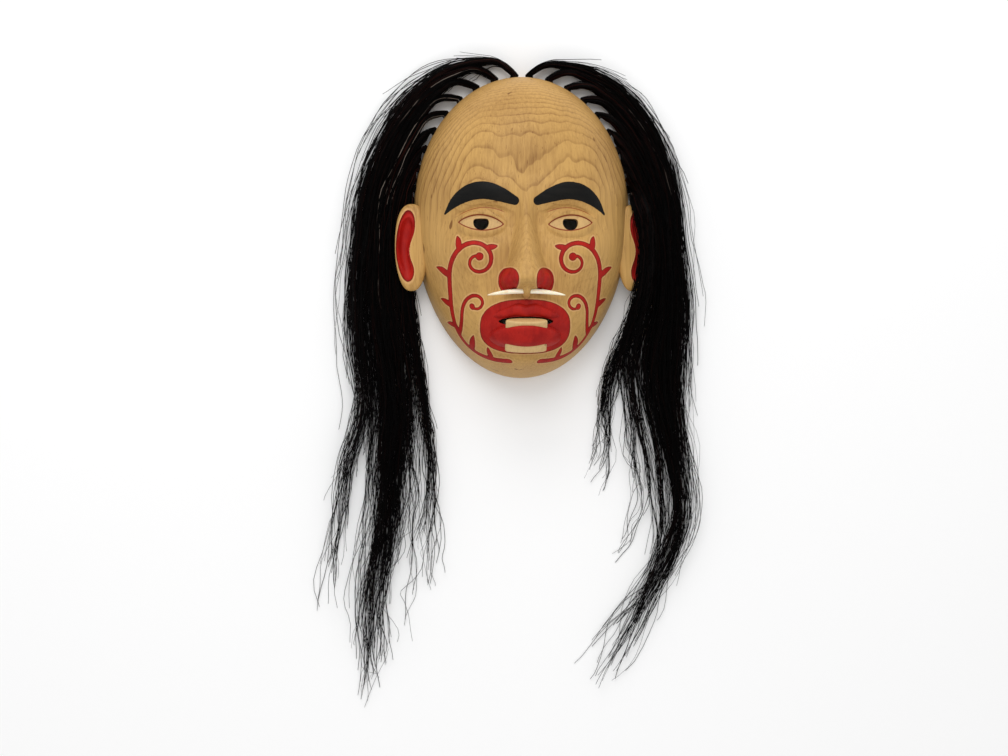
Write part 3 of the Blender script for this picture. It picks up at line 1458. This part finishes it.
def guide_mesh(name, line):
    mesh = bpy.data.meshes.new(name)
    count = len(line)
    mesh.from_pydata(to_frame(line[:, :3]).tolist(), [(i, i + 1) for i in range(count - 1)], [])
    across = mesh.attributes.new("across", "FLOAT_VECTOR", "POINT")
    across.data.foreach_set("vector", np.column_stack([line[:, 3:5], np.zeros(count)]).ravel())
    for title, sizes in zip(("room_out", "room_in", "half_height"), line[:, 5:8].T):
        layer = mesh.attributes.new(title, "FLOAT", "POINT")
        layer.data.foreach_set("value", np.maximum(sizes, THINNEST) * MM)
    return mesh


def grow_lock(name, line, inputs):
    lock = placed(name, guide_mesh(name, line))
    growth = lock.modifiers.new("growth", "NODES")
    growth.node_group = hair_tree
    for title, value in inputs.items():
        growth[HAIR_SOCKETS[title]] = value
    return plain_mesh(lock)


locks = []
for side_name, tress in TRESSES.items():
    tress_rows = rows_of(tress)
    for k in range(LOCK_COUNT):
        looks = {title: values[k] for title, values in LOCK_LOOKS[side_name].items()}
        line = flowing_line(lock_stations(tress, tress_rows, k))
        lock = grow_lock(f"hair_{side_name}_{k + 1}", line, {"Seed": len(locks) + 1, **looks})
        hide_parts(f"hair_lock_{side_name}_{k + 1}")
        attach(lock, "root")
        lock.data.calc_loop_triangles()
        locks.append(lock)
sizes = [len(lock.data.loop_triangles) for lock in locks]
print("Hair:", sum(sizes), "triangles in", len(locks), "locks, at most", max(sizes))

# %% [markdown]
# The mask is seen from straight above on a pale floor. The light is soft and comes from the top of
# the head, so that the shadow falls below the chin.

# %% Floor and light
floor_mesh = bpy.data.meshes.new("floor")
floor_mesh.from_pydata([(-3, -3, 0), (3, -3, 0), (3, 3, 0), (-3, 3, 0)], [], [(0, 1, 2, 3)])
floor = placed("floor", floor_mesh)
floor_material, floor_tree = new_material("pale_floor")
set_surface(floor_tree, {"Base Color": (0.93, 0.93, 0.93, 1), "Roughness": 0.9})
floor_mesh.materials.append(floor_material)


def area_light(name, place, target, size, power):
    lamp = bpy.data.lights.new(name, "AREA")
    lamp.shape = "RECTANGLE"
    lamp.size, lamp.size_y = size
    lamp.energy = power
    light = placed(name, lamp)
    light.location = place
    light.rotation_euler = (Vector(target) - Vector(place)).to_track_quat("-Z", "Y").to_euler()


area_light("key", (-0.22, 1.0, 1.7), (0, 0.1, 0), (0.8, 0.6), 9)
area_light("crown", (-0.2, 1.5, 1.1), (0, 0.1, 0), (1.0, 0.6), 8)
area_light("front", (0.0, 0.35, 2.1), (0, 0.1, 0), (1.0, 1.0), 3)
area_light("low", (0.0, -0.9, 1.3), (0, 0.05, 0.05), (1.0, 0.6), 2)
world = bpy.data.worlds.new("studio")
world.use_nodes = True
background = world.node_tree.nodes["Background"]
plug_in(background.inputs["Color"], (1, 1, 1, 1))
plug_in(background.inputs["Strength"], 0.66)
bpy.context.scene.world = world
bpy.context.scene.view_settings.view_transform = "Standard"

# %% Camera
CAMERA_DISTANCE = 1.8
PICTURE_WIDTH = 1008  # pixels
PIXEL = 0.8 * MM  # of the lying surface, to one pixel of the picture
AIM = (-17, -150)  # pixels from the middle of the face to the middle of the picture
LEAN = math.radians(2.6)  # the camera stands a little to the left

camera_data = bpy.data.cameras.new("camera")
camera_data.sensor_width = 36
camera_data.lens = camera_data.sensor_width * CAMERA_DISTANCE / (PICTURE_WIDTH * PIXEL)
camera = placed("camera", camera_data)
aim = Vector((MIDDLE_X * MM + AIM[0] * PIXEL, MIDDLE_Y * MM + AIM[1] * PIXEL, 0))
camera.location = aim + Vector((-math.sin(LEAN), 0, math.cos(LEAN))) * CAMERA_DISTANCE
camera.rotation_euler = (0, -LEAN, 0)
bpy.context.scene.camera = camera
